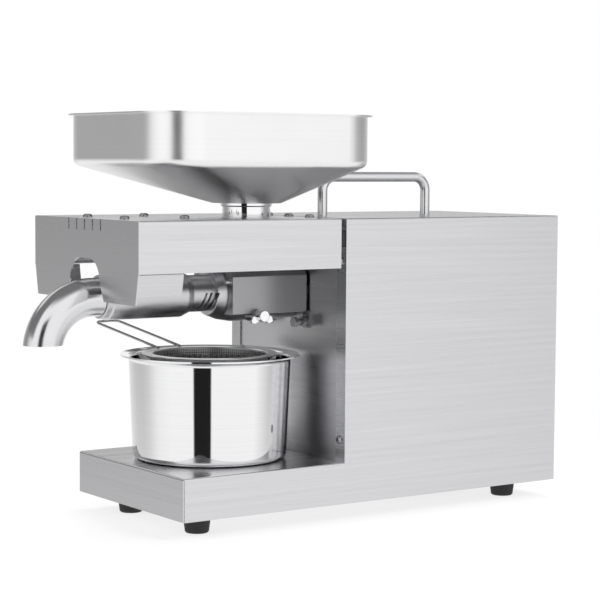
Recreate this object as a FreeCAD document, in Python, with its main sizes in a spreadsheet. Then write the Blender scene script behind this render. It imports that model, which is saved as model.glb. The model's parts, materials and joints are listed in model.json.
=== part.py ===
import FreeCAD, Part
import math
import os
from types import SimpleNamespace

import Sketcher
from FreeCAD import Placement, Rotation, Vector

# A small screw oil press for the kitchen. X runs along the machine, from the cake spout (-X) to the
# motor end (+X); Y is across it and Z is up. The sizes below are taken from the datum: the casing's
# centre plane, 38 mm behind the joint of base and casing, at table level. The document's origin is
# the middle of the machine's whole footprint, and place() moves every sub-part from the datum to it.
# All sizes are in millimetres.

SIZES = {
    # where the datum lies in the document
    "datum_x": (44.8, "the datum, from the middle of the whole footprint"),
    "datum_y": (-18, "the casing's centre plane, from the middle of the whole footprint"),
    # outside of the machine
    "width": (170, "outside width of casing, base and hood"),
    "foot_height": (15.4, "rubber foot, table to base"),
    "casing_height": (232, "bottom edge of the casing to its top"),
    "casing_front": (-38, "front plane of the casing"),
    "casing_rear": (190, "rear plane of the casing"),
    "sheet": (1.2, "stainless sheet"),
    "strip": (13, "return strip on the front edges of the casing"),
    "base_front": (-190, "front of the base platform"),
    "base_rise": (34, "height of the base platform"),
    "base_gauge": (2, "base plate"),
    "bend": (1.6, "outside radius of a fold"),
    # front hood
    "hood_front": (-230, "front face of the hood"),
    "hood_rear": (-43, "rear edge of the hood"),
    "hood_side": (40, "height of the hood's sides"),
    "hood_drop": (64, "height of the hood's front plate"),
    "hood_taper": (5, "the front plate draws in this much on each side"),
    "taper_height": (27, "height of the drawn-in part"),
    "flap_length": (40, "side flap beside the front plate"),
    "flap_drop": (17, "side flap below the hood's side"),
    "arch_half": (24, "half width of the spout arch"),
    "arch_foot": (31, "half width where the arch opens out"),
    "arch_shoulder": (16, "height where the arch begins"),
    "arch_rise": (33, "top of the arch above the front plate's lower edge"),
    "slit_pitch": (13, "vent slits in the front fold"),
    "slit_width": (1.8, "one slit"),
    "slit_length": (9, "one slit, from the top"),
    # pressing line
    "axis_rise": (169.6, "screw axis above the casing's bottom edge"),
    "bore": (11.5, "radius of the pressing bore"),
    "barrel_radius": (15, "barrel under the cap nut"),
    "barrel_front": (-206, "front end of the barrel"),
    "shoulder": (-118, "where the barrel swells"),
    "chamber_radius": (24, "heated chamber of the barrel"),
    "chamber_front": (-96, "front of the full chamber"),
    "socket_front": (-52, "front of the spindle's recess in the barrel"),
    "slot_width": (2, "oil slot"),
    "slot_pitch": (4.6, "oil slots along the barrel"),
    "slot_lean": (6.2, "how far a slot leans over its height"),
    "nut_radius": (18.5, "cap nut"),
    "nut_front": (-218, "front face of the cap nut"),
    "nut_rear": (-139, "rear edge of the cap nut"),
    "throat_x": (-79, "middle of the feed throat"),
    "throat_radius": (20, "outside of the feed throat"),
    "throat_bore": (17, "inside of the feed throat"),
    "block_front": (-111, "front of the feed block"),
    "block_rear": (-38.6, "rear of the feed block"),
    "block_half": (30, "half width of the feed block"),
    "block_low": (16.6, "feed block below the axis"),
    "block_high": (14.4, "feed block's side faces above the axis"),
    "block_top": (27, "feed block's top above the axis"),
    "block_crown": (21, "half width of the feed block's top"),
    "spout_radius": (15.4, "outside of the cake spout's tube"),
    "spout_bore": (14, "inside of the cake spout's tube"),
    "spout_tip": (-267, "middle of the spout's open end"),
    "spout_drop": (35.6, "open end below the axis"),
    "spout_bend": (42, "bend radius of the spout"),
    "flight_radius": (11.2, "outside of the screw's flight"),
    "flight_pitch": (17, "lead of the screw"),
    "fit": (0.05, "radial clearance of a running fit"),
    # drive
    "spindle_radius": (9, "output spindle in its bearings"),
    "stage_one": (1.0, "module of the motor pinion and the large idler gear"),
    "stage_two": (1.5, "module of the small idler gear and the output gear"),
    "box_front": (-33.8, "front of the gearbox"),
    "box_rear": (12, "joint face of the gearbox"),
    "cover_rear": (18, "outside of the gearbox cover"),
    "box_half": (47, "half width of the gearbox"),
    "motor_radius": (42, "motor body"),
    "motor_rear": (110, "rear end of the motor body"),
    "shaft_radius": (3.5, "motor shaft"),
    # hopper
    "hopper_length": (205.6, "hopper along the machine, outside"),
    "hopper_width": (174, "hopper across the machine, outside"),
    "hopper_corner": (35, "corner radius of the hopper"),
    "hopper_shift": (25.8, "the hopper's middle lies this far forward of the throat"),
    "hopper_wall": (41, "upright wall of the hopper"),
    "hopper_cone": (31, "sloping part of the hopper"),
    "hopper_neck": (11, "neck between hood and hopper"),
    "hopper_floor": (29, "radius of the flat ring around the outlet"),
    "hopper_lip": (4, "flat lip around the hopper"),
    # pot and strainer
    "pot_x": (-114, "middle of the oil pot"),
    "pot_height": (85.6, "oil pot"),
    "pot_base": (63.2, "radius of the pot at its base"),
    "pot_top": (66.6, "radius of the pot under its lip"),
    "pot_lip": (73.4, "outside of the pot's lip"),
    "ring_outer": (56, "outside of the strainer's ring"),
    "ring_inner": (47, "inside of the strainer's ring"),
    "wire": (1.1, "radius of the strainer's handle wire"),
    "wire_gap": (25, "distance between the handle's two wires"),
    "wire_reach": (81.4, "length of the strainer's handle"),
    # carrying handle, feet and fasteners
    "grip_front": (-1.7, "front leg of the carrying handle"),
    "grip_rear": (109.3, "rear leg of the carrying handle"),
    "grip_rise": (32.6, "middle of the grip above the casing"),
    "grip_radius": (4.2, "round bar of the handle"),
    "foot_x": (158.3, "feet from the datum, along the machine"),
    "foot_y": (52.5, "feet from the datum, across it"),
    "foot_top": (11.4, "radius of a foot under the base"),
    "foot_sole": (9.6, "radius of a foot near the table"),
    "head_radius": (3.9, "pan screw head"),
    "screw_radius": (2, "pan screw shank"),
}

TEETH_PINION = 12
TEETH_LARGE_IDLER = 60
TEETH_SMALL_IDLER = 14
TEETH_OUTPUT = 49

doc = FreeCAD.newDocument("screw_oil_press")


class Size:
    """A length: its value now, and the sheet formula that keeps it tied to the driving sizes."""

    def __init__(self, value, formula):
        self.value = float(value)
        self.formula = formula

    def __add__(self, other):
        other = as_size(other)
        return Size(self.value + other.value, f"({self.formula} + {other.formula})")

    def __sub__(self, other):
        other = as_size(other)
        return Size(self.value - other.value, f"({self.formula} - {other.formula})")

    def __mul__(self, other):
        other = as_size(other)
        return Size(self.value * other.value, f"({self.formula} * {other.formula})")

    def __truediv__(self, other):
        other = as_size(other)
        return Size(self.value / other.value, f"({self.formula} / {other.formula})")

    def __radd__(self, other):
        return as_size(other) + self

    def __rsub__(self, other):
        return as_size(other) - self

    def __rmul__(self, other):
        return as_size(other) * self

    def __neg__(self):
        return as_size(0) - self


def as_size(thing):
    """A plain number becomes a Size that no cell drives."""
    if isinstance(thing, Size):
        return thing
    number = f"{float(thing):.6f}"
    return Size(thing, f"({number})" if thing < 0 else number)


def make_sheet():
    """Write the driving sizes into the spreadsheet and return them by name."""
    sheet = doc.addObject("Spreadsheet::Sheet", "Sizes")
    for row, (name, (value, note)) in enumerate(SIZES.items(), start=1):
        sheet.set(f"A{row}", note)
        sheet.set(f"B{row}", str(value))
        sheet.setAlias(f"B{row}", name)
    doc.recompute()
    return SimpleNamespace(**{name: Size(sheet.get(name), f"Sizes.{name}") for name in SIZES})


S = make_sheet()

# Levels and places that many pieces share.
BOTTOM = S.foot_height
TOP = BOTTOM + S.casing_height
DECK = BOTTOM + S.base_rise
FLOOR = BOTTOM + S.base_gauge
HALF = S.width / 2
INSIDE = HALF - S.sheet
AXIS = BOTTOM + S.axis_rise
PANEL = S.casing_front + S.sheet
HOOD_LOW = TOP - S.hood_side
HOOD_FOOT = TOP - S.hood_drop
IDLER_Z = AXIS - S.stage_two * ((TEETH_SMALL_IDLER + TEETH_OUTPUT) / 2)
MOTOR_Z = IDLER_Z - S.stage_one * ((TEETH_PINION + TEETH_LARGE_IDLER) / 2)
HOPPER_FLOOR = TOP + S.hopper_neck
HOPPER_KNEE = HOPPER_FLOOR + S.hopper_cone
HOPPER_RIM = HOPPER_KNEE + S.hopper_wall
POT_FLOOR = DECK + 0.2
TIE_Y = S.block_half - 1
TIE_Z = S.block_low + 8
THERMOSTAT_X = -49
CLAMP_X = -87.6
CLAMP_Z = -17.6
HEATER_Y = 25.8
HEATER_Z = 10.2
REAR_FACE = S.casing_rear - S.sheet
LOUVRE_Z = BOTTOM + 138
INLET_Y = 38
INLET_Z = BOTTOM + 32
SWITCH_Z = BOTTOM + 80
SWITCH_YS = (26, 50)
ROCKER_DEPTH = 5
ROCKER_TILT = 9
BOARD_X = 60
BOARD_Z = BOTTOM + 164

# Body frames: "x" turns the local Z onto +X (local X onto +Y), "y" turns it onto +Y (local X onto +Z).
TURNS = {
    "x": Rotation(Vector(1, 1, 1), 120),
    "y": Rotation(Vector(1, 1, 1), 240),
    "z": Rotation(),
}


def place(thing, x=0, y=0, z=0, turn=None):
    """Put an object at a place, given from the datum, that the sheet drives."""
    thing.Placement = Placement(Vector(), turn or Rotation())
    for name, size in (("x", x + S.datum_x), ("y", y + S.datum_y), ("z", z)):
        thing.setExpression(f"Placement.Base.{name}", as_size(size).formula)


def pin(sketch, geometry, point, corner):
    """Hold one point of a sketch at a corner's two coordinates."""
    for kind, size in (("DistanceX", corner[0]), ("DistanceY", corner[1])):
        size = as_size(size)
        place_of = sketch.addConstraint(
            Sketcher.Constraint(kind, -1, 1, geometry, point, size.value)
        )
        sketch.setExpression(f"Constraints[{place_of}]", size.formula)


def draw_circle(sketch, u, v, radius):
    """A circle held by its middle and radius."""
    u, v, radius = as_size(u), as_size(v), as_size(radius)
    middle = Vector(u.value, v.value, 0)
    circle = sketch.addGeometry(Part.Circle(middle, Vector(0, 0, 1), radius.value))
    pin(sketch, circle, 3, (u, v))
    held = sketch.addConstraint(Sketcher.Constraint("Radius", circle, radius.value))
    sketch.setExpression(f"Constraints[{held}]", radius.formula)


def corner_arc(before, corner, after, radius):
    """The arc that rounds a corner, its two ends, and whether it runs against the path."""
    back = (before - corner).normalize()
    ahead = (after - corner).normalize()
    half_turn = back.getAngle(ahead) / 2
    reach = radius / math.tan(half_turn)
    middle = corner + (back + ahead).normalize() * (radius / math.sin(half_turn))
    first = corner + back * reach
    last = corner + ahead * reach
    against = back.cross(ahead).z > 0
    start, end = (last, first) if against else (first, last)
    low = math.atan2(start.y - middle.y, start.x - middle.x)
    high = math.atan2(end.y - middle.y, end.x - middle.x)
    if high < low:
        high += 2 * math.pi
    circle = Part.Circle(middle, Vector(0, 0, 1), radius)
    return Part.ArcOfCircle(circle, low, high), first, last, against


def draw_path(sketch, corners, closed=True):
    """Lines through corners (u, v), or (u, v, radius) where a corner is rounded, all held by the sheet."""
    count = len(corners)
    spots = [Vector(as_size(c[0]).value, as_size(c[1]).value, 0) for c in corners]
    rounds = {}
    for i, corner in enumerate(corners):
        if len(corner) == 3:
            radius = as_size(corner[2])
            arc, first, last, against = corner_arc(
                spots[i - 1], spots[i], spots[(i + 1) % count], radius.value
            )
            rounds[i] = (arc, first, last, against, radius)
    lines = []
    for i in range(count if closed else count - 1):
        start = rounds[i][2] if i in rounds else spots[i]
        after = (i + 1) % count
        end = rounds[after][1] if after in rounds else spots[after]
        lines.append(sketch.addGeometry(Part.LineSegment(start, end)))
    for i, corner in enumerate(corners):
        if i in rounds:
            arc, _, _, against, radius = rounds[i]
            bend = sketch.addGeometry(arc)
            entry, leave = (2, 1) if against else (1, 2)
            sketch.addConstraint(Sketcher.Constraint("Tangent", lines[i - 1], 2, bend, entry))
            sketch.addConstraint(Sketcher.Constraint("Tangent", bend, leave, lines[i], 1))
            held = sketch.addConstraint(Sketcher.Constraint("Radius", bend, radius.value))
            sketch.setExpression(f"Constraints[{held}]", radius.formula)
            apex = sketch.addGeometry(Part.Point(spots[i]), True)
            pin(sketch, apex, 1, corner)
            sketch.addConstraint(Sketcher.Constraint("PointOnObject", apex, 1, lines[i - 1]))
            sketch.addConstraint(Sketcher.Constraint("PointOnObject", apex, 1, lines[i]))
        elif not closed and i == count - 1:
            pin(sketch, lines[-1], 2, corner)
        else:
            if closed or i > 0:
                sketch.addConstraint(Sketcher.Constraint("Coincident", lines[i - 1], 2, lines[i], 1))
            pin(sketch, lines[i], 1, corner)


def circle(u, v, radius):
    """A loop that is a circle."""
    return ("circle", u, v, radius)


def rectangle(low_u, low_v, high_u, high_v, radius=None):
    """A loop that is a rectangle, with its corners rounded if a radius is given."""
    corners = [(low_u, low_v), (high_u, low_v), (high_u, high_v), (low_u, high_v)]
    if radius is None:
        return corners
    return [corner + (radius,) for corner in corners]


def hexagon(u, v, flats):
    """A loop that is a hexagon with this distance across its flats."""
    reach = as_size(flats) / math.sqrt(3)
    angles = [math.radians(60 * k) for k in range(6)]
    return [(u + reach * math.cos(angle), v + reach * math.sin(angle)) for angle in angles]


class Piece:
    """One sub-part: a PartDesign body that gathers features, and stands where the sheet puts it."""

    def __init__(self, label, along="z", x=0, y=0, z=0, turn=None):
        self.body = doc.addObject("PartDesign::Body", label)
        self.body.Label = label
        place(self.body, x, y, z, turn or TURNS[along])

    def sketch(self, loops, plane="XY_Plane", start=0, closed=True):
        """A sketch on one of the body's own planes, or at a distance from it."""
        origin = self.body.Origin.OriginFeatures
        sketch = self.body.newObject("Sketcher::SketchObject", self.body.Label + "_sketch")
        sketch.AttachmentSupport = [(next(f for f in origin if f.Role == plane), "")]
        sketch.MapMode = "FlatFace"
        sketch.setExpression("AttachmentOffset.Base.z", as_size(start).formula)
        for loop in loops:
            if loop[0] == "circle":
                draw_circle(sketch, *loop[1:])
            else:
                draw_path(sketch, loop, closed)
        return sketch

    def feature(self, kind, profile, **sizes):
        """Add a PartDesign feature on a sketch, with the sizes that the sheet drives."""
        made = self.body.newObject("PartDesign::" + kind, self.body.Label + "_" + kind)
        made.Profile = profile
        for name, size in sizes.items():
            made.setExpression(name, as_size(size).formula)
        profile.Visibility = False
        return made

    def pad(self, loops, start, length):
        """Thicken loops from start, along the body's own Z."""
        self.feature("Pad", self.sketch(loops, start=start), Length=length)
        return self

    def cut(self, loops, start, length):
        """Cut loops away between start and start + length, along the body's own Z."""
        self.feature("Pocket", self.sketch(loops, start=as_size(start) + length), Length=length)
        return self

    def pierce(self, loops, plane):
        """Cut loops right through the body, both ways from one of its own planes."""
        made = self.feature("Pocket", self.sketch(loops, plane))
        made.Type = "ThroughAll"
        made.Midplane = True
        return self

    def turned(self, corners, kind="Revolution"):
        """Turn a profile of (radius, height) corners about the body's own Z."""
        profile = self.sketch([corners], "XZ_Plane")
        made = self.feature(kind, profile)
        made.ReferenceAxis = (profile, ["V_Axis"])
        made.Angle = 360
        return self

    def pipe(self, loops, start, path, plane, kind="AdditivePipe"):
        """Sweep loops, drawn across the body's own Z at start, along a path on one of its planes."""
        profile = self.sketch(loops, start=start)
        spine = self.sketch([path], plane, closed=False)
        made = self.feature(kind, profile)
        made.Spine = (spine, [])
        spine.Visibility = False
        return self

    def loft(self, sections, kind="AdditiveLoft"):
        """Join loops at several heights, given as (height, loop) pairs, by straight walls."""
        sketches = [self.sketch([loop], start=height) for height, loop in sections]
        made = self.feature(kind, sketches[0])
        made.Sections = sketches[1:]
        made.Ruled = True
        for sketch in sketches:
            sketch.Visibility = False
        return self

    def dress(self, kind, size, test):
        """Fillet or chamfer the edges that a test picks, seen in the body's own frame."""
        doc.recompute()
        tip = self.body.Tip
        names = [f"Edge{i}" for i, edge in enumerate(tip.Shape.Edges, start=1) if test(edge)]
        made = self.body.newObject("PartDesign::" + kind, self.body.Label + "_" + kind)
        made.Base = (tip, names)
        made.setExpression("Radius" if kind == "Fillet" else "Size", as_size(size).formula)
        return self

    def ring_of(self, count):
        """Repeat the last feature around the body's own Z."""
        made = self.body.newObject("PartDesign::PolarPattern", self.body.Label + "_ring")
        made.Originals = [self.body.Tip]
        z_axis = next(f for f in self.body.Origin.OriginFeatures if f.Role == "Z_Axis")
        made.Axis = (z_axis, [""])
        made.Angle = 360
        made.Occurrences = count
        self.body.Tip = made
        return self


def runs_along(edge, direction):
    """True for a straight edge in this direction."""
    if edge.Curve.TypeId != "Part::GeomLine":
        return False
    return abs(edge.Curve.Direction.dot(direction)) > 0.999


def lies_level(edge, height):
    """True for an edge that stays at this height."""
    return max(abs(edge.BoundBox.ZMin - height), abs(edge.BoundBox.ZMax - height)) < 0.05


def repeat(label, master, spots, turn=None):
    """Several of one master piece as one node, a copy at each (x, y, z) spot."""
    copies = []
    for number, (x, y, z) in enumerate(spots, start=1):
        copy = doc.addObject("App::Link", f"{label}_{number}")
        copy.LinkedObject = master.body
        place(copy, x, y, z, turn)
        copies.append(copy)
    group = doc.addObject("Part::Compound", label)
    group.Label = label
    group.Links = copies
    return group


# ---- Casing and base ----


def base_plate():
    """The flat plate that closes the base and carries the feet, the motor cradle and the capacitor."""
    low, high = S.base_front + S.sheet, S.casing_rear - S.sheet
    side = INSIDE - 0.2
    holes = [circle(x, y, S.screw_radius + 0.1) for x, y in foot_spots()]
    slots = [rectangle(60 + 9 * k, -30, 63 + 9 * k, 30) for k in range(9)]
    piece = Piece("base_plate")
    piece.pad([rectangle(low, -side, high, side)] + holes + slots, BOTTOM, S.base_gauge)
    return piece.body


def foot_spots():
    """The middles of the four feet."""
    return [(x, y) for x in (-S.foot_x, S.foot_x) for y in (-S.foot_y, S.foot_y)]


def base_cover():
    """The folded platform that the pot stands on, open underneath and against the casing."""
    piece = Piece("base_cover")
    piece.pad([rectangle(S.base_front, -HALF, S.casing_front, HALF)], BOTTOM, S.base_rise)
    front = S.base_front.value

    def outer_fold(edge):
        middle = edge.CenterOfMass
        side_fold = runs_along(edge, Vector(1, 0, 0)) and middle.z > DECK.value - 1
        front_fold = abs(middle.x - front) < 0.1 and middle.z > BOTTOM.value + 1
        return side_fold or front_fold

    piece.dress("Fillet", S.bend, outer_fold)
    hollow = rectangle(S.base_front + S.sheet, -INSIDE, S.casing_front + 1, INSIDE)
    piece.cut([hollow], BOTTOM, S.base_rise - S.sheet)
    return piece.body


def front_panel():
    """The plate across the machine that carries the pressing line, behind the casing's strips."""
    side = INSIDE - 0.2
    holes = [circle(0, AXIS, S.spindle_radius + 5)]
    holes += [circle(y, z, 2.6) for y, z in tie_spots()]
    holes += [circle(y, z, S.screw_radius + 0.1) for y, z in strip_spots()]
    piece = Piece("front_panel", "x")
    piece.pad([rectangle(-side, FLOOR, side, TOP - S.sheet - 0.2)] + holes, PANEL, 3)
    return piece.body


def tie_spots():
    """The four tie bolts of the gearbox, seen along the machine."""
    return [(y, AXIS + z) for y in (-TIE_Y, TIE_Y) for z in (-TIE_Z, TIE_Z)]


def strip_spots():
    """The four screws through the casing's front strips."""
    side = HALF - S.strip / 2 - 0.5
    return [(y, BOTTOM + z) for y in (-side, side) for z in (52, 197)]


def rear_casing():
    """The folded wrapper over the drive, with return strips on its front and rear edges."""
    outer = [
        (-HALF, BOTTOM),
        (-HALF, TOP, S.bend),
        (HALF, TOP, S.bend),
        (HALF, BOTTOM),
        (INSIDE, BOTTOM),
        (INSIDE, TOP - S.sheet),
        (-INSIDE, TOP - S.sheet),
        (-INSIDE, BOTTOM),
    ]
    piece = Piece("rear_casing", "x")
    piece.pad([outer], S.casing_front, S.casing_rear - S.casing_front)
    for near, sides in ((True, (-INSIDE, S.strip - HALF)), (False, (HALF - S.strip, INSIDE))):
        strip = rectangle(sides[0], FLOOR, sides[1], TOP - S.sheet)
        holes = [circle(y, z, S.screw_radius + 0.1) for y, z in strip_spots() if (y.value < 0) == near]
        piece.pad([strip] + holes, S.casing_front, S.sheet)
        holes = [circle(y, z, 1.6) for y, z in rear_spots() if (y.value < 0) == near]
        piece.pad([strip] + holes, REAR_FACE, S.sheet)
    legs = [circle(0, x, 3.1) for x in (S.grip_front, S.grip_rear)]
    piece.pierce(legs, "XZ_Plane")
    return piece.body


def rear_spots():
    """The six screws that hold the rear panel to the casing's return strips."""
    side = HALF - S.strip / 2 - 0.5
    return [(y, BOTTOM + z) for y in (-side, side) for z in (20, 116, 212)]


def rear_panel():
    """The closing plate at the motor end, with its air slots and cut-outs for the mains parts."""
    side = INSIDE - 0.2
    louvres = [rectangle(-52, LOUVRE_Z + 9 * k, 52, LOUVRE_Z + 9 * k + 3.4, 1.6) for k in range(8)]
    holes = [circle(y, z, 1.4) for y, z in rear_spots()]
    inlet = rectangle(INLET_Y - 13.6, INLET_Z - 9.9, INLET_Y + 13.6, INLET_Z + 9.9)
    switches = [rectangle(y - 6.6, SWITCH_Z - 9.8, y + 6.6, SWITCH_Z + 9.8) for y in SWITCH_YS]
    piece = Piece("rear_panel", "x")
    outline = rectangle(-side, FLOOR, side, TOP - S.sheet - 0.2)
    piece.pad([outline, inlet] + switches + louvres + holes, REAR_FACE - 1.5, 1.5)
    return piece.body


def hood_screw_spots():
    """Pan screws on the hood's top: two pairs at the front, four along the rear edge."""
    pairs = [(-211, 30), (-158, 32), (S.hood_rear - 3.5, 15), (S.hood_rear - 3.5, 45)]
    return [(x, y * sign) for x, y in pairs for sign in (-1, 1)]


def front_hood():
    """The folded hood over the pressing line, with the arch that the cake spout passes through."""
    top_inside = TOP - S.sheet
    channel = [
        (-HALF, HOOD_LOW),
        (-HALF, TOP, S.bend),
        (HALF, TOP, S.bend),
        (HALF, HOOD_LOW),
        (INSIDE, HOOD_LOW),
        (INSIDE, top_inside),
        (-INSIDE, top_inside),
        (-INSIDE, HOOD_LOW),
    ]
    foot = HALF - S.hood_taper
    taper_start = HOOD_FOOT + S.taper_height
    front = [
        (-HALF, taper_start, 12),
        (-HALF, TOP - 0.4),
        (HALF, TOP - 0.4),
        (HALF, taper_start, 12),
        (foot, HOOD_FOOT, 1),
        (S.arch_foot, HOOD_FOOT, 2),
        (S.arch_half, HOOD_FOOT + S.arch_shoulder, 8),
        (S.arch_half, HOOD_FOOT + S.arch_rise, 17),
        (-S.arch_half, HOOD_FOOT + S.arch_rise, 17),
        (-S.arch_half, HOOD_FOOT + S.arch_shoulder, 8),
        (-S.arch_foot, HOOD_FOOT, 2),
        (-foot, HOOD_FOOT, 1),
    ]
    piece = Piece("front_hood", "x")
    piece.pad([channel], S.hood_front, S.hood_rear - S.hood_front)
    piece.pad([front], S.hood_front, S.sheet)
    lean = S.hood_taper / S.taper_height
    flap_top = HALF - (taper_start - HOOD_LOW) * lean
    flap_low = flap_top - S.flap_drop * lean
    for sign in (-1, 1):
        flap = [
            (sign * flap_top, HOOD_LOW),
            (sign * flap_low, HOOD_LOW - S.flap_drop),
            (sign * (flap_low - S.sheet), HOOD_LOW - S.flap_drop),
            (sign * (flap_top - S.sheet), HOOD_LOW),
        ]
        piece.pad([flap], S.hood_front, S.flap_length)
        lip = [
            (sign * HALF, HOOD_LOW),
            (sign * HALF, HOOD_LOW + S.sheet),
            (sign * (HALF - 8), HOOD_LOW + S.sheet),
            (sign * (HALF - 8), HOOD_LOW),
        ]
        piece.pad([lip], S.hood_front, S.hood_rear - S.hood_front)
    seams = [
        rectangle(-HALF - 1, HOOD_LOW - 0.7, 2.5 - HALF, HOOD_LOW),
        rectangle(HALF - 2.5, HOOD_LOW - 0.7, HALF + 1, HOOD_LOW),
    ]
    piece.cut(seams, S.hood_front + S.sheet, S.flap_length)
    middles = [S.slit_pitch * k for k in range(-2, 3)]
    half_slit = S.slit_width / 2
    slits = [rectangle(y - half_slit, TOP - S.slit_length, y + half_slit, TOP + 1) for y in middles]
    piece.cut(slits, S.hood_front - 1, 4)
    screws = [circle(y, x, S.screw_radius + 0.05) for x, y in hood_screw_spots()]
    piece.pierce([circle(0, S.throat_x, S.throat_radius + 0.6)] + screws, "XZ_Plane")
    return piece.body


def hood_frame():
    """The channel under the hood's top that the hood is screwed to; its rear fold bolts to the panel."""
    under = TOP - S.sheet
    half = 51
    section = [
        (-half, under - 12),
        (-half, under, 2.5),
        (half, under, 2.5),
        (half, under - 12),
        (half - 1.5, under - 12),
        (half - 1.5, under - 1.5, 1),
        (1.5 - half, under - 1.5, 1),
        (1.5 - half, under - 12),
    ]
    piece = Piece("hood_frame", "x")
    piece.pad([section], S.hood_front + 8, PANEL - S.hood_front - 8)
    piece.pad([rectangle(-44, under - 26, 44, under - 1)], PANEL - 1.5, 1.5)
    screws = [circle(y, x, S.screw_radius + 0.05) for x, y in hood_screw_spots()]
    piece.pierce([circle(0, S.throat_x, S.throat_radius + 0.6)] + screws, "XZ_Plane")
    return piece.body


def hood_buffers():
    """Rubber pads that fill the gap between the hood's rear edge and the casing."""
    pad = Piece("buffer_master", "x")
    pad.pad([rectangle(-4, -6, 4, 6, 1)], 0, S.casing_front - S.hood_rear)
    spots = [(S.hood_rear, sign * (HALF - 5), TOP - 17) for sign in (-1, 1)]
    return repeat("hood_buffers", pad, spots, TURNS["x"])


def carry_handle():
    """The round bar on top, with threaded ends that pass through the casing."""
    rise = TOP + S.grip_rise
    path = [(S.grip_front, TOP), (S.grip_front, rise, 12), (S.grip_rear, rise, 12), (S.grip_rear, TOP)]
    piece = Piece("carry_handle")
    piece.pipe([circle(S.grip_front, 0, S.grip_radius)], TOP, path, "XZ_Plane")
    piece.pad([circle(x, 0, 3) for x in (S.grip_front, S.grip_rear)], TOP - 10, 10.5)
    return piece.body


def handle_nuts():
    """The two nuts that hold the handle from inside."""
    nut = Piece("nut_master")
    nut.pad([hexagon(0, 0, 10), circle(0, 0, 3.03)], 0, 5)
    spots = [(x, 0, TOP - S.sheet - 5) for x in (S.grip_front, S.grip_rear)]
    return repeat("handle_nuts", nut, spots)


def feet():
    """Four tapered rubber feet, each with a sunk screw hole."""
    names = ("foot_front_near", "foot_front_far", "foot_rear_near", "foot_rear_far")
    made = []
    for name, (x, y) in zip(names, foot_spots()):
        profile = [
            (2.1, S.foot_height),
            (S.foot_top, S.foot_height),
            (S.foot_sole, 1),
            (S.foot_sole - 1, 0),
            (4.6, 0),
            (4.6, 6),
            (2.1, 6),
        ]
        made.append(Piece(name, x=x, y=y).turned(profile).body)
    return made


# ---- Fasteners ----


def pan_screw(name, length, head=S.head_radius, shank=S.screw_radius):
    """A pan-head screw with a hexagon socket, standing head up on its seat."""
    dome = [(0, 0), (head, 0), (head, 1.1), (head * 0.86, 2), (head * 0.6, 2.5), (0, 2.6)]
    piece = Piece(name)
    piece.turned(dome)
    piece.cut([hexagon(0, 0, 2.5)], 1.2, 2)
    piece.pad([circle(0, 0, shank)], -length, length)
    return piece


def screws():
    """The screws of the casing, each kind as one node."""
    up = Rotation()
    down = Rotation(Vector(1, 0, 0), 180)
    forward = Rotation(Vector(0, 1, 0), -90)
    backward = Rotation(Vector(0, 1, 0), 90)
    short = pan_screw("short_screw_master", 7)
    small = pan_screw("small_screw_master", 5, 2.8, 1.35)
    foot = pan_screw("foot_screw_master", 14.4)
    return [
        repeat("hood_screws", short, [(x, y, TOP) for x, y in hood_screw_spots()], up),
        repeat("foot_screws", foot, [(x, y, 6) for x, y in foot_spots()], down),
        repeat("strip_screws", small_strip(), [(S.casing_front, y, z) for y, z in strip_spots()], forward),
        repeat("rear_panel_screws", small, [(S.casing_rear, y, z) for y, z in rear_spots()], backward),
    ]


def small_strip():
    """The screws through the front strips into the panel."""
    return pan_screw("strip_screw_master", 6, 3.4)


# ---- Pressing line ----


def press_barrel():
    """The barrel: slotted oil cage in front, heated chamber behind, recess for the spindle at the rear."""
    flare = S.shoulder + 10
    profile = [
        (S.bore, S.barrel_front),
        (S.barrel_radius, S.barrel_front),
        (S.barrel_radius, S.shoulder),
        (S.barrel_radius + 3.3, S.shoulder, 1),
        (S.chamber_radius - 2, flare, 6),
        (S.chamber_radius, S.chamber_front, 4),
        (S.chamber_radius, -60, 8),
        (S.chamber_radius - 1, PANEL),
        (S.spindle_radius + 5, PANEL),
        (S.spindle_radius + 5, S.socket_front),
        (S.bore, S.socket_front),
    ]
    piece = Piece("press_barrel", "x", z=AXIS)
    piece.turned(profile)
    slots = []
    for k in range(3):
        low = S.shoulder - 12.5 + S.slot_pitch * k
        slots.append(
            [
                (-16, low - S.slot_lean / 2),
                (-16, low - S.slot_lean / 2 + S.slot_width),
                (1, low + S.slot_lean / 2 + S.slot_width),
                (1, low + S.slot_lean / 2),
            ]
        )
    piece.pierce(slots, "YZ_Plane")
    mouth = piece.feature("Pocket", piece.sketch([circle(0, S.throat_x, 12)], "XZ_Plane"), Length=30)
    mouth.Reversed = False
    return piece.body


def feed_block():
    """The saddle block over the chamber: it carries the throat, the heaters and the clamp screw's boss."""
    piece = Piece("feed_block", "x", z=AXIS)
    outline = [
        (-S.block_half, -S.block_low, 0.8),
        (S.block_half, -S.block_low, 0.8),
        (S.block_half, S.block_high, 1.5),
        (S.block_crown, S.block_top, 1.5),
        (-S.block_crown, S.block_top, 1.5),
        (-S.block_half, S.block_high, 1.5),
    ]
    piece.pad([outline], S.block_front, S.block_rear - S.block_front)
    boss = piece.feature(
        "Pad", piece.sketch([circle(CLAMP_Z, CLAMP_X, 5.4)], "YZ_Plane", start=-S.block_half - 4), Length=16
    )
    boss.Reversed = False
    piece.cut([circle(0, 0, S.chamber_radius + S.fit)], S.block_front - 1, 80)
    piece.cut(heater_loops(3.03), S.block_front - 1, 62)
    piece.feature("Pocket", piece.sketch([circle(0, S.throat_x, S.throat_bore)], "XZ_Plane"), Length=40)
    bore = piece.feature(
        "Pocket", piece.sketch([circle(CLAMP_Z, CLAMP_X, 3 + S.fit)], "YZ_Plane"), Length=60
    )
    bore.Reversed = False
    return piece.body


def heater_loops(radius):
    """The two cartridge bores in the upper corners of the feed block."""
    return [circle(sign * HEATER_Y, HEATER_Z, radius) for sign in (-1, 1)]


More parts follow.
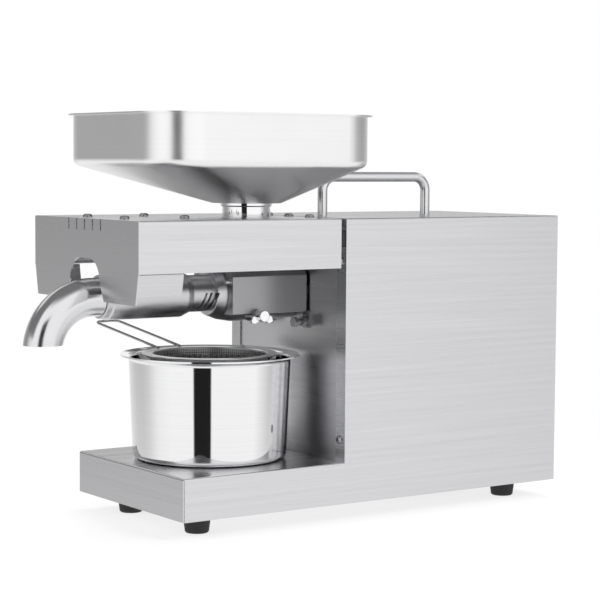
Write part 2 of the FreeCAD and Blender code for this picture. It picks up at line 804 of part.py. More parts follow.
def heater_rods():
    """Cartridge heaters, with their lead collars standing out in front."""
    rod = Piece("heater_master")
    rod.turned([(0, 0), (3, 0), (3, 56), (0, 56)])
    rod.turned([(0, -5), (2, -5), (2, 0.5), (0, 0.5)])
    spots = [(S.block_front, sign * HEATER_Y, AXIS + HEATER_Z) for sign in (-1, 1)]
    return repeat("heater_rods", rod, spots, TURNS["x"])


def thermostat():
    """The button thermostat on top of the feed block, with its two blades."""
    piece = Piece("thermostat", x=THERMOSTAT_X, z=AXIS + S.block_top)
    piece.turned([(0, 0), (5.5, 0), (5.5, 4), (4.6, 4), (4.2, 7), (0, 7)])
    piece.pad([rectangle(-1.6, y - 0.4, 1.6, y + 0.4) for y in (-2.4, 2.4)], 6.5, 6)
    return piece.body


def feed_throat():
    """The tube that leads the seeds from the hopper's neck down to the screw."""
    low = AXIS + S.block_top
    profile = [
        (S.throat_bore, low),
        (S.throat_radius + 3, low),
        (S.throat_radius + 3, low + 3),
        (S.throat_radius, low + 3),
        (S.throat_radius, TOP),
        (S.throat_bore, TOP),
    ]
    return Piece("feed_throat", x=S.throat_x).turned(profile).body


def cap_nut():
    """The cap nut on the barrel's front end, which sets how tightly the cake is squeezed."""
    inner = S.barrel_radius + S.fit
    spout = S.spout_bore + S.fit
    profile = [
        (inner, S.nut_rear),
        (inner + 1.2, S.nut_rear),
        (S.nut_radius, S.nut_rear - 6),
        (S.nut_radius, S.nut_front + 6),
        (S.nut_radius - 1.1, S.nut_front + 4.5),
        (S.nut_radius - 1.1, S.nut_front + 0.6),
        (S.nut_radius - 1.7, S.nut_front),
        (spout, S.nut_front),
        (spout, S.nut_front + 10),
        (inner, S.nut_front + 10),
    ]
    return Piece("cap_nut", "x", z=AXIS).turned(profile).body


def residue_chute():
    """The polished elbow that turns the pressed cake downwards, with a spigot in the cap nut."""
    start = S.nut_front - 0.4
    wall = [circle(0, 0, S.spout_radius), circle(0, 0, S.spout_bore)]
    path = [(0, start), (0, S.spout_tip, S.spout_bend), (-S.spout_drop - 12, S.spout_tip)]
    piece = Piece("residue_chute", "x", z=AXIS)
    piece.pipe(wall, start, path, "YZ_Plane")
    below = rectangle(-S.spout_drop - 20, S.spout_tip - 24, -S.spout_drop, S.spout_tip + 36)
    piece.pierce([below], "YZ_Plane")
    piece.pad([circle(0, 0, S.spout_bore + 0.01), circle(0, 0, 12.4)], start - 1.5, 11)
    return piece.body


def press_screw():
    """The tapered screw: one long flight around a core that thickens towards the cake end."""
    core = [
        (0, -214),
        (4, -212),
        (9.2, -202, 2),
        (6.6, -56),
        (9.6, -56),
        (9.6, S.socket_front - 0.5),
        (0, S.socket_front - 0.5),
    ]
    piece = Piece("press_screw", "x", z=AXIS)
    piece.turned(core)
    tooth = [(5.6, -71), (5.6, -65), (S.flight_radius, -66.4), (S.flight_radius, -69.6)]
    profile = piece.sketch([tooth], "XZ_Plane")
    flight = piece.feature("AdditiveHelix", profile, Pitch=S.flight_pitch, Height=S.flight_pitch * 7.6)
    flight.ReferenceAxis = (profile, ["V_Axis"])
    flight.Mode = 0
    flight.Reversed = True
    piece.pad([hexagon(0, 0, 11)], S.socket_front - 1, 20)
    return piece.body


def clamp_screw():
    """The wing screw that locks the barrel in the feed block."""
    piece = Piece("clamp_screw", "y", x=CLAMP_X, z=AXIS + CLAMP_Z)
    face = -S.block_half - 12
    piece.pad([circle(0, 0, 4.8)], face, 3)
    piece.dress("Fillet", 0.8, lambda edge: abs(edge.CenterOfMass.z - face.value) < 0.1)
    piece.pad([circle(0, 0, 3)], face + 2, 20.3)
    piece.pad([circle(0, 0, 4.4)], face + 2, 5.4)
    for sign in (-1, 1):
        wing = [(2.4, 0), (-2.4, 0), (-6, sign * 6.6, 1.2), (-5, sign * 10.8, 1.6), (-0.6, sign * 9, 1.2)]
        piece.pad([wing], face + 4, 2.6)
    return piece.body


def tie_bolts():
    """Hexagon bolts that tie the gearbox to the panel, each with a lock nut against its tab."""
    bolt = Piece("tie_bolt_master", "x")
    head = PANEL - 14.5
    bolt.pad([hexagon(0, 0, 8)], head, 3.6)
    bolt.pad([circle(0, 0, 2.5)], head + 3, 22.5)
    bolt.pad([hexagon(0, 0, 8)], PANEL - 6.5, 5)
    return repeat("tie_bolts", bolt, [(0, y, z) for y, z in tie_spots()], TURNS["x"])


def lock_tabs():
    """The tab under each tie bolt's lock nut."""
    tab = Piece("lock_tab_master", "x")
    tab.pad([rectangle(-4.6, -5.4, 4.6, 9, 0.8), circle(0, 0, 2.55)], PANEL - 1.5, 1.5)
    return repeat("lock_tabs", tab, [(0, y, z) for y, z in tie_spots()], TURNS["x"])


# ---- Drive ----


def drive_spindle():
    """The output spindle: a hub with a hexagon socket for the screw, and a shaft in two bearings."""
    hub_front = S.socket_front + 3
    piece = Piece("drive_spindle", "x", z=AXIS)
    piece.turned(
        [
            (0, hub_front),
            (12.5, hub_front),
            (12.5, S.box_front),
            (S.spindle_radius, S.box_front),
            (S.spindle_radius, 12.6),
            (0, 12.6),
        ]
    )
    piece.cut([hexagon(0, 0, 11.1)], hub_front - 1, 21)
    return piece.body


def thrust_washer():
    """The bronze washer that takes the screw's back thrust."""
    inner = S.spindle_radius + S.fit
    profile = [(inner, S.box_front), (13, S.box_front), (13, S.box_front + 0.7), (inner, S.box_front + 0.7)]
    return Piece("thrust_washer", "x", z=AXIS).turned(profile).body


def bearing(label, inner, outer, start, width, z):
    """A plain sealed bearing ring on a shaft along X."""
    end = start + width
    profile = [
        (inner, start),
        (outer - 0.5, start),
        (outer, start + 0.5),
        (outer, end - 0.5),
        (outer - 0.5, end),
        (inner, end),
    ]
    return Piece(label, "x", z=z).turned(profile)


def spindle_bearings():
    """The two bearings of the output spindle."""
    inner = S.spindle_radius + S.fit
    front = bearing("spindle_bearing_front", inner, 16, S.box_front + 0.8, 8.9, AXIS)
    rear = bearing("spindle_bearing_rear", inner, 13, 4.6, 8, AXIS)
    return group("spindle_bearings", [front, rear])


def group(label, pieces):
    """Different solids as one node."""
    made = doc.addObject("Part::Compound", label)
    made.Label = label
    made.Links = [piece.body for piece in pieces]
    return made


def box_outline(inset):
    """The gearbox's outline, seen along the machine."""
    side = S.box_half - inset
    low = MOTOR_Z - 18 + inset
    high = AXIS + 44.5 - inset
    return rectangle(-side, low, side, high, 16 - inset)


def cover_bolt_spots():
    """The screws around the gearbox cover, clear of the motor."""
    side = S.box_half - 2.9
    return [(sign * side, AXIS + z) for sign in (-1, 1) for z in (22, -30)]


def gearbox_housing():
    """The cast box around the gears, open to the rear."""
    wall = S.box_rear - S.box_front
    piece = Piece("gearbox_housing", "x")
    piece.pad([box_outline(0)], S.box_front, wall)
    piece.cut([box_outline(5.6)], S.box_front + 9.8, wall)
    piece.cut([circle(0, AXIS, 16.02)], S.box_front - 1, 12)
    piece.cut([circle(y, z, 2.52) for y, z in tie_spots()], S.box_front - 1, 9)
    piece.cut([circle(0, IDLER_Z, 5)], S.box_front + 5, 10)
    piece.cut([circle(y, z, 1.45) for y, z in cover_bolt_spots()], S.box_rear - 9, 10)
    return piece.body


def gearbox_cover():
    """The gearbox cover, with the rear spindle bearing's seat and the motor's spigot hole."""
    piece = Piece("gearbox_cover", "x")
    piece.pad([box_outline(0)], S.box_rear, S.cover_rear - S.box_rear)
    piece.pad([circle(0, AXIS, 16)], 4.4, 8)
    piece.cut([circle(0, AXIS, 13.02)], 4, 8.8)
    piece.cut([circle(0, IDLER_Z, 5)], S.box_rear - 1, 4)
    piece.cut([circle(0, MOTOR_Z, 6)], S.box_rear - 1, 8)
    piece.cut([circle(y, z, 1.65) for y, z in cover_bolt_spots()], S.box_rear - 1, 8)
    return piece.body


def cover_bolts():
    """Socket screws of the gearbox cover."""
    bolt = Piece("cover_bolt_master")
    bolt.turned([(0, 0), (2.8, 0), (2.8, 2.7), (2.5, 3), (0, 3)])
    bolt.cut([hexagon(0, 0, 2.5)], 1.2, 2)
    bolt.pad([circle(0, 0, 1.4)], -14, 14)
    spots = [(S.cover_rear, y, z) for y, z in cover_bolt_spots()]
    return repeat("cover_bolts", bolt, spots, Rotation(Vector(0, 1, 0), 90))


def idler_shaft():
    """The fixed pin that the idler gear turns on."""
    start = S.box_front + 5
    return Piece("idler_shaft", "x", z=IDLER_Z).pad([circle(0, 0, 4.98)], start, 14.8 - start).body


def tooth_outline(teeth, module, phase, backlash=0.12):
    """A spur gear's outline: involute flanks, each drawn with three points, closed at root and tip."""
    pitch = teeth * module / 2
    base = pitch * math.cos(math.radians(20))
    tip = pitch + 0.92 * module
    root = pitch - 1.2 * module
    half_tooth = math.pi / (2 * teeth) - backlash / (2 * pitch)
    involute = math.tan(math.radians(20)) - math.radians(20)

    def flank(radius):
        pressure = math.acos(min(1, base / radius))
        return half_tooth + involute - (math.tan(pressure) - pressure)

    levels = [root, max(base, root + 0.2 * module), pitch, tip]
    points = []
    for k in range(teeth):
        middle = phase + 2 * math.pi * k / teeth
        rising = [(radius, middle - flank(max(radius, base))) for radius in levels]
        falling = [(radius, middle + flank(max(radius, base))) for radius in reversed(levels)]
        for radius, angle in rising + falling:
            points.append(Vector(radius * math.cos(angle), radius * math.sin(angle), 0))
    return Part.Wire(Part.makePolygon(points + points[:1]))


def spur_gear(teeth, module, phase, start, width, bore, hub=None):
    """The solid of one spur gear about the local Z, bored for its shaft."""
    blank = Part.Face(tooth_outline(teeth, module, phase)).extrude(Vector(0, 0, width))
    blank.translate(Vector(0, 0, start))
    if hub:
        radius, low, high = hub
        blank = blank.fuse(Part.makeCylinder(radius, high - low, Vector(0, 0, low)))
    return blank.cut(Part.makeCylinder(bore, 200, Vector(0, 0, -100)))


def gear_node(label, shape, z):
    """A computed gear as an object that stands on its shaft."""
    made = doc.addObject("Part::Feature", label)
    made.Label = label
    made.Shape = shape
    place(made, z=z, turn=TURNS["x"])
    return made


# The local X of a gear is +Y and its local Y is +Z, so the next shaft down lies at -90 degrees.
DOWN = -math.pi / 2
UP = math.pi / 2


def output_gear():
    """The large gear on the spindle, at rest with a gap facing the idler."""
    phase = DOWN + math.pi / TEETH_OUTPUT
    bore = S.spindle_radius.value + 0.02
    shape = spur_gear(TEETH_OUTPUT, S.stage_two.value, phase, -21, 12, bore, (15, -23.4, -9))
    windows = [
        Part.makeCylinder(6.5, 40, Vector(24.5 * math.cos(a), 24.5 * math.sin(a), -40))
        for a in (math.radians(60 * k) for k in range(6))
    ]
    for window in windows:
        shape = shape.cut(window)
    return gear_node("output_gear", shape, AXIS)


def idler_gear():
    """The cluster gear: its small wheel drives the output gear, its large one meets the pinion."""
    bore = 4.98 + S.fit.value
    small = spur_gear(TEETH_SMALL_IDLER, S.stage_two.value, UP, -21.5, 13, bore, (8, -21.5, 3))
    gap = math.pi / TEETH_LARGE_IDLER
    large = spur_gear(TEETH_LARGE_IDLER, S.stage_one.value, DOWN + gap, -6, 9, bore)
    windows = [
        Part.makeCylinder(5, 40, Vector(18.5 * math.cos(a), 18.5 * math.sin(a), -7))
        for a in (math.radians(72 * k) for k in range(5))
    ]
    for window in windows:
        large = large.cut(window)
    return gear_node("idler_gear", small.fuse(large).removeSplitter(), IDLER_Z)


def motor_pinion():
    """The pinion on the motor's shaft, a tooth facing the large idler gear."""
    shape = spur_gear(TEETH_PINION, S.stage_one.value, UP, -7, 11, S.shaft_radius.value + 0.01)
    return gear_node("motor_pinion", shape, MOTOR_Z)


def motor_rotor():
    """The motor's shaft with its laminated armature and commutator."""
    shaft = S.shaft_radius
    piece = Piece("motor_rotor", "x", z=MOTOR_Z)
    piece.turned(
        [
            (0, -9),
            (shaft, -9),
            (shaft, 38),
            (26, 40),
            (30, 46),
            (30, 88),
            (26, 93),
            (14, 94),
            (14, 103),
            (shaft, 103),
            (shaft, 141),
            (0, 141),
        ]
    )
    return piece.body


def motor_housing():
    """The motor's drawn steel body, with the front bearing's seat."""
    wall = 2.4
    piece = Piece("motor_housing", "x", z=MOTOR_Z)
    piece.turned(
        [
            (5.5, S.cover_rear),
            (S.motor_radius - 2, S.cover_rear),
            (S.motor_radius, S.cover_rear + 2),
            (S.motor_radius, S.motor_rear),
            (S.motor_radius - wall, S.motor_rear),
            (S.motor_radius - wall, S.cover_rear + 5),
            (12, S.cover_rear + 5),
            (12, S.cover_rear + 13),
            (9.02, S.cover_rear + 13),
            (9.02, S.cover_rear + 5),
            (5.5, S.cover_rear + 5),
        ]
    )
    return piece.body


def motor_end_bell():
    """The motor's cast rear cover, with air windows around the rear bearing's seat."""
    rear = S.motor_rear
    piece = Piece("motor_end_bell", "x", z=MOTOR_Z)
    piece.turned(
        [
            (9.02, rear),
            (12.5, rear),
            (12.5, rear + 6),
            (S.motor_radius - 4, rear + 6),
            (S.motor_radius - 4, rear),
            (S.motor_radius, rear),
            (S.motor_radius, rear + 5),
            (S.motor_radius - 4, rear + 9),
            (14, rear + 11),
            (5, rear + 11),
            (5, rear + 8),
            (9.02, rear + 8),
        ]
    )
    piece.cut([circle(25, 0, 6.5)], rear + 2, 18)
    piece.ring_of(6)
    return piece.body


def motor_bearings():
    """The two bearings of the motor's shaft."""
    inner = S.shaft_radius + 0.02
    front = bearing("motor_bearing_front", inner, 9, S.cover_rear + 5.2, 7, MOTOR_Z)
    rear = bearing("motor_bearing_rear", inner, 9, S.motor_rear + 0.6, 7, MOTOR_Z)
    return group("motor_bearings", [front, rear])


def cooling_fan():
    """The fan on the tail of the motor's shaft: seven tilted blades on a hub."""
    piece = Piece("cooling_fan", "x", z=MOTOR_Z)
    piece.turned([(S.shaft_radius + 0.01, 126), (9, 126), (9, 138), (S.shaft_radius + 0.01, 138)])
    blade = [(-5.5, 127), (-4, 127), (5.5, 137), (4, 137)]
    piece.feature("Pad", piece.sketch([blade], "YZ_Plane", start=7.5), Length=27)
    piece.ring_of(7)
    return piece.body


def motor_cradle():
    """The saddle that carries the motor's body from the base plate."""
    piece = Piece("motor_cradle", "x")
    piece.pad([rectangle(-38, FLOOR, 38, MOTOR_Z - 18, 3)], 58, 24)
    piece.cut([circle(0, MOTOR_Z, S.motor_radius + 0.02)], 50, 40)
    piece.cut([rectangle(-26, FLOOR + 6, 26, FLOOR + 30, 4)], 50, 40)
    return piece.body


# ---- Electrics ----


def control_board():
    """The motor and heater control: a board with its relay, transformer, heat sink and capacitors."""
    piece = Piece("control_board", "y", x=BOARD_X, z=BOARD_Z)
    piece.pad([rectangle(-34, -46, 34, 46)], 71, 1.6)
    piece.pad([rectangle(-28, -40, -8, -16)], 53, 18.2)
    piece.pad([rectangle(4, -36, 26, -10)], 56, 15.2)
    piece.pad([circle(z, x, 5) for z, x in ((-18, 6), (-18, 20), (6, 12))], 51, 20.2)
    fins = [rectangle(8, 24 + 4 * k, 30, 25.6 + 4 * k) for k in range(5)]
    piece.pad([rectangle(8, 22, 30, 43)], 67, 4.2)
    piece.pad(fins, 54, 13.2)
    return piece.body


def board_standoffs():
    """Four spacers between the casing's far side and the board."""
    post = Piece("standoff_master", "y")
    post.pad([hexagon(0, 0, 5.5)], 72.6, INSIDE - 72.6)
    spots = [(BOARD_X + x, 0, BOARD_Z + z) for x in (-42, 42) for z in (-30, 30)]
    return repeat("board_standoffs", post, spots, TURNS["y"])


def run_capacitor():
    """The motor's capacitor, a drawn can with a crimped rim, standing on the base plate."""
    profile = [(0, 0), (16, 0), (17.5, 1.5), (17.5, 56), (16.8, 57.4), (17.5, 58.8), (17.5, 61), (0, 61)]
    piece = Piece("run_capacitor", x=104, y=-63, z=FLOOR)
    piece.turned(profile)
    piece.pad([rectangle(-3.2, y - 0.4, 3.2, y + 0.4) for y in (-5, 5)], 60, 9)
    return piece.body


def power_inlet():
    """The appliance inlet in the rear panel: a bezel, a shrouded well and its three blades."""
    bezel = rectangle(-15.6, -11.8, 15.6, 11.8, 2)
    shell = rectangle(-13.4, -9.7, 13.4, 9.7, 1)
    well = [(-12, 8), (12, 8), (12, -3), (7, -8), (-7, -8), (-12, -3)]
    blades = [rectangle(y - 1, z - 2, y + 1, z + 2) for y, z in ((-7, -2), (0, 2), (7, -2))]
    piece = Piece("power_inlet", "x", y=INLET_Y, z=INLET_Z)
    piece.pad([bezel], REAR_FACE, 2.4)
    piece.pad([shell], REAR_FACE - 20, 20.5)
    piece.cut([well], REAR_FACE - 16, 20)
    piece.pad(blades, REAR_FACE - 16.5, 14)
    return piece.body


def switch_bezels():
    """The frames of the two rocker switches, each with its body behind the panel."""
    frame = Piece("switch_master", "x")
    opening = rectangle(-5.2, -8.6, 5.2, 8.6)
    frame.pad([rectangle(-7.6, -10.6, 7.6, 10.6, 1.5), opening], REAR_FACE, 2)
    frame.pad([rectangle(-6.4, -9.6, 6.4, 9.6), opening], REAR_FACE - 14, 14.5)
    frame.pad([rectangle(-6.4, -9.6, 6.4, 9.6)], REAR_FACE - 16, 2.2)
    return repeat("switch_bezels", frame, [(0, y, SWITCH_Z) for y in SWITCH_YS], TURNS["x"])


def rocker(label, y, tilt):
    """One rocker: two flats that meet in a shallow V, turning about a pin inside its frame."""
    pivot = REAR_FACE - ROCKER_DEPTH
    turn = Rotation(Vector(0, 1, 0), tilt) * TURNS["y"]
    piece = Piece(label, x=pivot, y=y, z=SWITCH_Z, turn=turn)
    profile = [(-7, 1), (-7.2, 7.2, 0.6), (0, 6.2, 12), (7.2, 7.2, 0.6), (7, 1), (3, -4, 2), (-3, -4, 2)]
    piece.pad([profile], -4.8, 9.6)
    piece.pad([circle(0, 0, 1.6)], -5.1, 10.2)
    return piece.body


def rockers():
    """The motor's rocker rests in the middle (stop); the heater's rests tilted to off."""
    return [rocker("motor_rocker", SWITCH_YS[0], 0), rocker("heater_rocker", SWITCH_YS[1], -ROCKER_TILT)]


# ---- Hopper ----


def hopper():
    """The seed hopper: an upright wall with a lip, four slopes, and a flat floor around the outlet."""
    half_length, half_width, corner = S.hopper_length / 2, S.hopper_width / 2, S.hopper_corner
    sheet = S.sheet

    def wall(grow):
        return rectangle(
            -half_length - grow, -half_width - grow, half_length + grow, half_width + grow, corner + grow
        )

    def outlet(radius):
        shift = S.hopper_shift
        return rectangle(shift - radius, -radius, shift + radius, radius, radius - 0.05)

    piece = Piece("hopper", x=S.throat_x - S.hopper_shift)
    piece.loft([(HOPPER_FLOOR, outlet(S.hopper_floor)), (HOPPER_KNEE, wall(0))])
    piece.pad([wall(0)], HOPPER_KNEE, S.hopper_wall)
    piece.dress("Fillet", 6.5, lambda edge: lies_level(edge, HOPPER_KNEE.value))
    piece.pad([wall(S.hopper_lip)], HOPPER_RIM - sheet, sheet)
    bottom = (HOPPER_FLOOR + sheet, outlet(S.hopper_floor - 0.3))
    low_knee = (HOPPER_KNEE - 0.2, wall(-sheet - 2.6))
    high_knee = (HOPPER_KNEE + 3.4, wall(-sheet))
    piece.loft([bottom, low_knee], "SubtractiveLoft")
    piece.loft([low_knee, high_knee], "SubtractiveLoft")
    piece.cut([wall(-sheet)], high_knee[0], S.hopper_wall)
    piece.cut([circle(S.hopper_shift, 0, S.throat_radius - 4.6)], HOPPER_FLOOR - 1, 4)
    return piece.body


def hopper_neck():
    """The turned neck under the hopper: a collar that stands on the throat and a spigot inside it."""
    seat = TOP + 0.2
    bore = S.throat_radius - 4.6
    profile = [
        (bore, seat - 30),
        (S.throat_bore - 0.35, seat - 30),
        (S.throat_bore - 0.35, seat),
        (S.throat_radius, seat),
        (S.throat_radius, HOPPER_FLOOR - 3),
        (S.throat_radius + 1.4, HOPPER_FLOOR - 2),
        (S.throat_radius + 1.4, HOPPER_FLOOR),
        (bore, HOPPER_FLOOR),
    ]
    return Piece("hopper_neck", x=S.throat_x).turned(profile).body


# ---- Oil pot and strainer ----


def oil_pot():
    """The spun oil pot with its rolled-out lip."""
    wall = 1.0
    profile = [
        (0, 0),
        (S.pot_base, 0, 5),
        (S.pot_top, S.pot_height - 3, 3),
        (S.pot_lip, S.pot_height - 1.2),
        (S.pot_lip, S.pot_height),
        (S.pot_top - wall, S.pot_height - 1.6, 3),
        (S.pot_base - wall, wall, 4),
        (0, wall),
    ]
    return Piece("oil_pot", x=S.pot_x, z=POT_FLOOR).turned(profile).body


def strainer_ring():
    """The strainer's flat ring with a short skirt that holds the mesh."""
    low = POT_FLOOR + S.pot_height - 0.4
    profile = [
        (S.ring_inner, low - 5),
        (S.ring_inner + 0.9, low - 5),
        (S.ring_inner + 0.9, low),
        (S.ring_outer - 0.4, low),
        (S.ring_outer, low + 0.5),
        (S.ring_outer - 0.4, low + 1),
        (S.ring_inner + 0.6, low + 1),
        (S.ring_inner, low + 0.4),
    ]
    return Piece("strainer_ring", x=S.pot_x).turned(profile).body


def strainer_mesh():
    """The deep mesh bowl; it stands on the pot's floor."""
    high = POT_FLOOR + S.pot_height - 1.4
    low = POT_FLOOR + 1.4
    rim = S.ring_inner - 0.1
    profile = [
        (0, low),
        (26, low, 16),
        (rim - 4, low + 34, 40),
        (rim, high),
        (rim - 0.9, high),
        (rim - 4.9, low + 34, 40),
        (25.5, low + 0.9, 15),
        (0, low + 0.9),
    ]
    return Piece("strainer_mesh", x=S.pot_x).turned(profile).body


def strainer_handle():
    """The strainer's handle: one wire bent into a long loop that rises away from the ring."""
    tilt = 12
    swing = 13
    root = 48
    half = S.wire_gap / 2
    path = [(-half, 0), (-half, S.wire_reach, 6), (half, S.wire_reach, 6), (half, 0)]
    ring_top = POT_FLOOR + S.pot_height + 0.6 + S.wire
    turn = Rotation(Vector(0, 0, 1), swing) * Rotation(Vector(1, 0, 0), tilt - 90)
    x = S.pot_x - root * math.sin(math.radians(swing))
    y = root * math.cos(math.radians(swing))
    piece = Piece("strainer_handle", x=x, y=y, z=ring_top, turn=turn)
    piece.pipe([circle(-half, 0, S.wire)], 0, path, "XZ_Plane")
    return piece.body


NODES = [
    base_plate,
    base_cover,
    front_panel,
    rear_casing,
    rear_panel,
    front_hood,
    hood_frame,
    hood_buffers,
    carry_handle,
    handle_nuts,
    feet,
    screws,
    press_barrel,
    feed_block,
    heater_rods,
    thermostat,
    feed_throat,
    cap_nut,
    residue_chute,
    press_screw,
    clamp_screw,
    tie_bolts,
    lock_tabs,
    drive_spindle,
    thrust_washer,
    spindle_bearings,
    gearbox_housing,
    gearbox_cover,
    cover_bolts,
    idler_shaft,
    output_gear,
    idler_gear,
    motor_pinion,
    motor_rotor,
    motor_housing,
    motor_end_bell,
    motor_bearings,
    cooling_fan,
    motor_cradle,
    control_board,
    board_standoffs,
    run_capacitor,
    power_inlet,
    switch_bezels,
    rockers,
    hopper,
    hopper_neck,
    oil_pot,
    strainer_ring,
    strainer_mesh,
    strainer_handle,
]


def build():
    """Make every sub-part, check the whole document, and write one STEP file for each node."""
    made = []
    for maker in NODES:
        result = maker()
        made += result if isinstance(result, list) else [result]
    doc.recompute()
    for thing in doc.Objects:
        if "Invalid" in thing.State or "Error" in thing.State:
            raise RuntimeError(f"{thing.Label} has failed: {thing.State}")
    for node in made:
        if node.Shape.isNull() or not node.Shape.isValid():
            raise RuntimeError(f"{node.Label} has no sound shape")
    os.makedirs("parts", exist_ok=True)
    for node in made:
        node.Shape.exportStep(f"parts/{node.Label}.step")
        box = node.Shape.BoundBox
        print(f"{node.Label}: {len(node.Shape.Solids)} solid(s), {node.Shape.Volume / 1000:.2f} cm3")
        ends = (box.XMin, box.XMax, box.YMin, box.YMax, box.ZMin, box.ZMax)
        print("    x {:.2f} to {:.2f}, y {:.2f} to {:.2f}, z {:.2f} to {:.2f}".format(*ends))


build()
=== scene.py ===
# %% [markdown]
# # A table-top screw oil press, dressed for its portrait
# Seeds fall from the hopper into a heated, slotted barrel. A screw crushes them: the oil drips through
# the slots into the pot, and the dry cake leaves by the elbow at the front. The shapes come ready made
# from the CAD model, so this lesson is mostly about metal: brushed, turned, spun and mirror polished
# stainless steel, which all have nearly one colour and differ only in how they treat light.

# %% Load the model as a fixed frame
import json
import math

import bmesh
import bpy
from mathutils import Matrix, Vector


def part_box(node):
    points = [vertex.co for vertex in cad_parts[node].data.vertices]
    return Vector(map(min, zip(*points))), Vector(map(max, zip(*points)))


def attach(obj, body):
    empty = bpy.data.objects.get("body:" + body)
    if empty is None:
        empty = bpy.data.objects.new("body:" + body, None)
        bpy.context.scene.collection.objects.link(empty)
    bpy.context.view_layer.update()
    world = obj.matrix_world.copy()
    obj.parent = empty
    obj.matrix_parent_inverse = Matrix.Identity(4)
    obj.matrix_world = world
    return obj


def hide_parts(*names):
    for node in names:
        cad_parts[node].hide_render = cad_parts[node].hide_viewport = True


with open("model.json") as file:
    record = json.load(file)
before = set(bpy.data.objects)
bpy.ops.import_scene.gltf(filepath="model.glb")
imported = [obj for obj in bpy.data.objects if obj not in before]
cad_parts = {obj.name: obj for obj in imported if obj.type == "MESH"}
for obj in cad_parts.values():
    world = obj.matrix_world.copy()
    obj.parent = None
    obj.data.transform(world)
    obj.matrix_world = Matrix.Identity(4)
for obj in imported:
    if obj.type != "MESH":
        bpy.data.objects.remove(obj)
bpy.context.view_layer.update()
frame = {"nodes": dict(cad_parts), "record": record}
nodes = frame["nodes"]
mm = 0.001

# %% [markdown]
# ## Two small helpers
# Colours are written as sRGB hex values, as in any colour picker, but shaders work in linear light.
# One function converts them. A second one adds a shader node, sets its properties and fills or links
# its sockets, so that each material below reads as a short list of nodes.


# %% Colour and node helpers
def linear(code):
    """The linear colour of an sRGB hex code."""
    parts = [int(code[i : i + 2], 16) / 255 for i in (1, 3, 5)]
    return [c / 12.92 if c <= 0.04045 else ((c + 0.055) / 1.055) ** 2.4 for c in parts] + [1]


def add(tree, kind, inputs=None, stops=None, **settings):
    """Adds a shader node. inputs fills sockets by name or number, with values or with sockets to link."""
    node = tree.nodes.new("ShaderNode" + kind)
    for name, value in settings.items():
        setattr(node, name, value)
    for name, value in (inputs or {}).items():
        if isinstance(value, bpy.types.NodeSocket):
            tree.links.new(value, node.inputs[name])
        else:
            node.inputs[name].default_value = value
    for number, (spot, grey) in enumerate(stops or []):
        marks = node.color_ramp.elements
        mark = marks[number] if number < 2 else marks.new(spot)
        mark.position = spot
        mark.color = (grey, grey, grey, 1)
    return node


def new_material(name, **surface):
    """A material with its shader's own sockets set, and the place of each point in metres."""
    material = bpy.data.materials.new(name)
    material.use_nodes = True
    tree = material.node_tree
    shader = tree.nodes["Principled BSDF"]
    for socket, value in surface.items():
        shader.inputs[socket.replace("_", " ")].default_value = value
    return material, tree, shader, add(tree, "TexCoord").outputs["Object"]


print("helpers ready")

# %% [markdown]
# ## Brushed stainless steel
# The casing, base and hood are folded from stainless sheet with a hairline finish: an abrasive belt has
# drawn fine scratches along the sheet. They run from front to back on the sides and the top, and across
# on the two end faces. A noise stretched 180 times along the scratches gives them; real ones are
# 0.05 mm wide, too fine to show, so they are drawn 0.5 mm wide. Under them lies the same noise again,
# larger, as the belt's broad streaks. Scratches also smear every reflection across their own direction,
# which is what the anisotropic setting does.

# %% Brushed sheet
LINE_WIDTH = 0.5 * mm
LINE_LENGTH = 90 * mm
STREAKS = [0.4, 0.16, 0.16]  # how often the broad streaks repeat, as a share of the scratches


def brushed_stainless(name, colour, roughness, depth):
    """Scratched sheet. depth is how far its tone departs from the colour on both sides, as a share."""
    material, tree, shader, place = new_material(name, Metallic=1, Anisotropic=0.55)
    normal = add(tree, "SeparateXYZ", {0: add(tree, "NewGeometry").outputs["True Normal"]})
    turned = add(tree, "Math", {0: normal.outputs["X"]}, operation="ABSOLUTE")
    end_face = add(tree, "Math", {0: turned.outputs[0], 1: 0.7}, operation="GREATER_THAN").outputs[0]
    along = [1 / LINE_LENGTH, 1 / LINE_WIDTH, 1 / LINE_WIDTH]
    across = [1 / LINE_WIDTH, 1 / LINE_LENGTH, 1 / LINE_WIDTH]
    stretch = add(tree, "Mix", {0: end_face, 4: along, 5: across}, data_type="VECTOR")
    spot = add(tree, "VectorMath", {0: place, 1: stretch.outputs[1]}, operation="MULTIPLY").outputs[0]
    hair = add(tree, "TexNoise", {"Vector": spot, "Scale": 1, "Detail": 3, "Roughness": 0.6}).outputs[0]
    wide = add(tree, "VectorMath", {0: spot, 1: STREAKS}, operation="MULTIPLY").outputs[0]
    belt = add(tree, "TexNoise", {"Vector": wide, "Scale": 1, "Detail": 1}).outputs[0]
    both = add(tree, "Mix", {0: 0.45, 2: hair, 3: belt}).outputs[0]
    tone = linear(colour)
    dark = [c * (1 - depth) for c in tone[:3]] + [1]
    light = [min(1, c * (1 + depth)) for c in tone[:3]] + [1]
    ends = add(tree, "MapRange", {0: both, 1: 0.3, 2: 0.7}).outputs[0]
    paint = add(tree, "Mix", {0: ends, 6: dark, 7: light}, data_type="RGBA").outputs[2]
    rough = add(
        tree, "MapRange", {0: both, 1: 0.3, 2: 0.7, 3: roughness + 0.05, 4: roughness - 0.04}
    ).outputs[0]
    bump = add(tree, "Bump", {"Height": hair, "Strength": 0.12, "Distance": 0.03 * mm}).outputs[0]
    smear = add(tree, "Mix", {0: end_face, 4: [0, 1, 1], 5: [0, 0, 1]}, data_type="VECTOR").outputs[1]
    for socket, source in (("Base Color", paint), ("Roughness", rough), ("Normal", bump), ("Tangent", smear)):
        tree.links.new(source, shader.inputs[socket])
    return material


